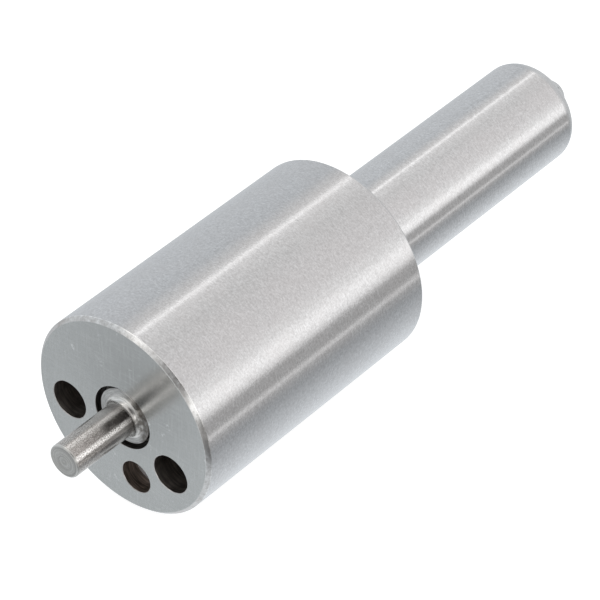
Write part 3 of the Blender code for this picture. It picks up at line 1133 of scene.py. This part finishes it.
# %% Name the tent's panels and patches
TENT_PANELS = [
    (-180, 1.00, "cool"),
    (-158, 1.03, "cool"),
    (-149, 0.82, "cool"),
    (-136, 0.64, "cool"),
    (-122, 0.82, "cool"),
    (-94, 0.82, "cool"),
    (-62, 0.79, "cool"),
    (-46, 0.74, "cool"),
    (-31, 0.83, "plain"),
    (-25, 0.98, "plain"),
    (-22.5, 1.62, "plain"),
    (-21.5, 1.62, "plain"),
    (-19, 1.02, "plain"),
    (-12, 0.95, "plain"),
    (4, 0.85, "plain"),
    (26, 0.90, "warm"),
    (50, 0.95, "warm"),
    (66, 1.12, "plain"),
    (74, 1.36, "plain"),
    (80, 1.38, "plain"),
    (85, 1.25, "plain"),
    (90, 0.96, "plain"),
    (94, 0.54, "plain"),
    (108, 0.50, "plain"),
    (111.5, 1.18, "plain"),
    (115, 0.53, "plain"),
    (128, 0.48, "cool"),
    (154, 0.76, "cool"),
    (180, 1.00, "cool"),
]
TENT_TINTS = {"cool": (0.95, 0.995, 1.035), "plain": (1.0, 1.0, 1.0), "warm": (1.01, 0.998, 1.0)}
TO_LENS = Vector((0, 0, 1))
TO_LENS.rotate(bpy.context.scene.camera.rotation_euler)
TO_SHADE = Vector((TO_LENS.x, -TO_LENS.y, -TO_LENS.z))
TO_GAP = Vector((-0.60, -0.68, -0.42))
TENT_PATCHES = [(TO_LENS, 12, 29, 0.08), (TO_SHADE, 22, 50, 0.78), (TO_GAP, 10, 28, 0.75)]
ENDS_FADE = {"From Min": 0.72, "From Max": 0.94}
ENDS_WHITE = (0.84, 0.86, 0.87, 1.0)
CAMERA_WHITE = 1.1
print("The tent has", len(TENT_PANELS), "panel edges and", len(TENT_PATCHES), "patches")


# %% Build the tent
def soft_step(tree, value, **ranges):
    """A smooth change from one value to another over a range."""
    step = add_node(tree, "ShaderNodeMapRange", value, interpolation_type="SMOOTHSTEP", **ranges)
    return step.outputs["Result"]


def tent_patch(tree, place, direction, inner, outer, shade):
    """A round patch in the tent: shade within the inner angle, and nothing changed outside the outer one."""
    towards = add_node(tree, "ShaderNodeVectorMath", place, operation="DOT_PRODUCT")
    towards.inputs[1].default_value = direction
    angles = {"From Min": math.cos(math.radians(outer)), "From Max": math.cos(math.radians(inner))}
    return soft_step(tree, towards.outputs["Value"], **angles, To_Min=1.0, To_Max=shade)


def tent_ramp(tree, place):
    """The panels' colour by the angle round the nozzle's axis."""
    parts = add_node(tree, "ShaderNodeSeparateXYZ", place).outputs
    forward = add_node(tree, "ShaderNodeMath", parts["Y"], operation="MULTIPLY")
    forward.inputs[1].default_value = -1.0
    angle = add_node(tree, "ShaderNodeMath", forward.outputs["Value"], parts["Z"], operation="ARCTAN2")
    turn = {"From Min": -math.pi, "From Max": math.pi}
    share = add_node(tree, "ShaderNodeMapRange", angle.outputs["Value"], **turn)
    ramp = add_node(tree, "ShaderNodeValToRGB", share.outputs["Result"])
    stops = ramp.color_ramp.elements
    while len(stops) < len(TENT_PANELS):
        stops.new(1.0)
    for stop, (degrees, brightness, tint) in zip(stops, TENT_PANELS):
        stop.position = (degrees + 180) / 360
        stop.color = (*(brightness * part for part in TENT_TINTS[tint]), 1.0)
    return ramp.outputs["Color"]


def tent_ends(tree, place, panels):
    """Fades the panels into plain white at the tent's two ends, where they would all meet in a point."""
    along = add_node(tree, "ShaderNodeVectorMath", place, operation="DOT_PRODUCT")
    along.inputs[1].default_value = nozzle.along
    reach = add_node(tree, "ShaderNodeMath", along.outputs["Value"], operation="ABSOLUTE")
    share = soft_step(tree, reach.outputs["Value"], **ENDS_FADE)
    return add_node(tree, "ShaderNodeMixRGB", share, panels, Color2=ENDS_WHITE).outputs["Color"]


def build_tent():
    """The world: panels and patches for the steel and the floor, plain white for the camera."""
    world = bpy.data.worlds.new("light_tent")
    bpy.context.scene.world = world
    world.use_nodes = True
    tree = world.node_tree
    tree.nodes.clear()
    place = add_node(tree, "ShaderNodeTexCoord").outputs["Generated"]
    panels = tent_ends(tree, place, tent_ramp(tree, place))
    shade, *more = [tent_patch(tree, place, *patch) for patch in TENT_PATCHES]
    for patch in more:
        shade = add_node(tree, "ShaderNodeMath", patch, shade, operation="MULTIPLY").outputs["Value"]
    light = add_node(tree, "ShaderNodeBackground", panels, shade).outputs["Background"]
    white = add_node(tree, "ShaderNodeBackground", Color=(1, 1, 1, 1), Strength=CAMERA_WHITE)
    seen = add_node(tree, "ShaderNodeLightPath").outputs["Is Camera Ray"]
    choice = add_node(tree, "ShaderNodeMixShader", seen, light, white.outputs["Background"])
    add_node(tree, "ShaderNodeOutputWorld", choice.outputs["Shader"])
    return world


print("Built", build_tent().name)

# %% [markdown]
# ## The floor
# The floor is a pale sheet that glows a little, as paper does in a light tent, so that only a faint shadow
# is left where the nozzle touches it. The steel doesn't mirror it, because the tent's lower panels stand
# for it there.

# %% Lay the floor
FLOOR_SIZE = 4.0
PAPER = (0.45, 0.45, 0.45, 1.0)
PAPER_GLOW = 0.82


def lay_floor():
    """A sheet of glowing paper that the steel doesn't mirror."""
    bpy.ops.object.select_all(action="DESELECT")
    bpy.ops.mesh.primitive_plane_add(size=FLOOR_SIZE)
    floor = bpy.context.active_object
    floor.name = "floor"
    material = bpy.data.materials.new("pale_paper")
    material.use_nodes = True
    shader = material.node_tree.nodes["Principled BSDF"]
    shader.inputs["Base Color"].default_value = PAPER
    shader.inputs["Roughness"].default_value = 1.0
    shader.inputs["Emission Color"].default_value = (1.0, 1.0, 1.0, 1.0)
    shader.inputs["Emission Strength"].default_value = PAPER_GLOW
    floor.data.materials.append(material)
    floor.visible_glossy = False
    return floor


print("Laid", lay_floor().name)

# %% [markdown]
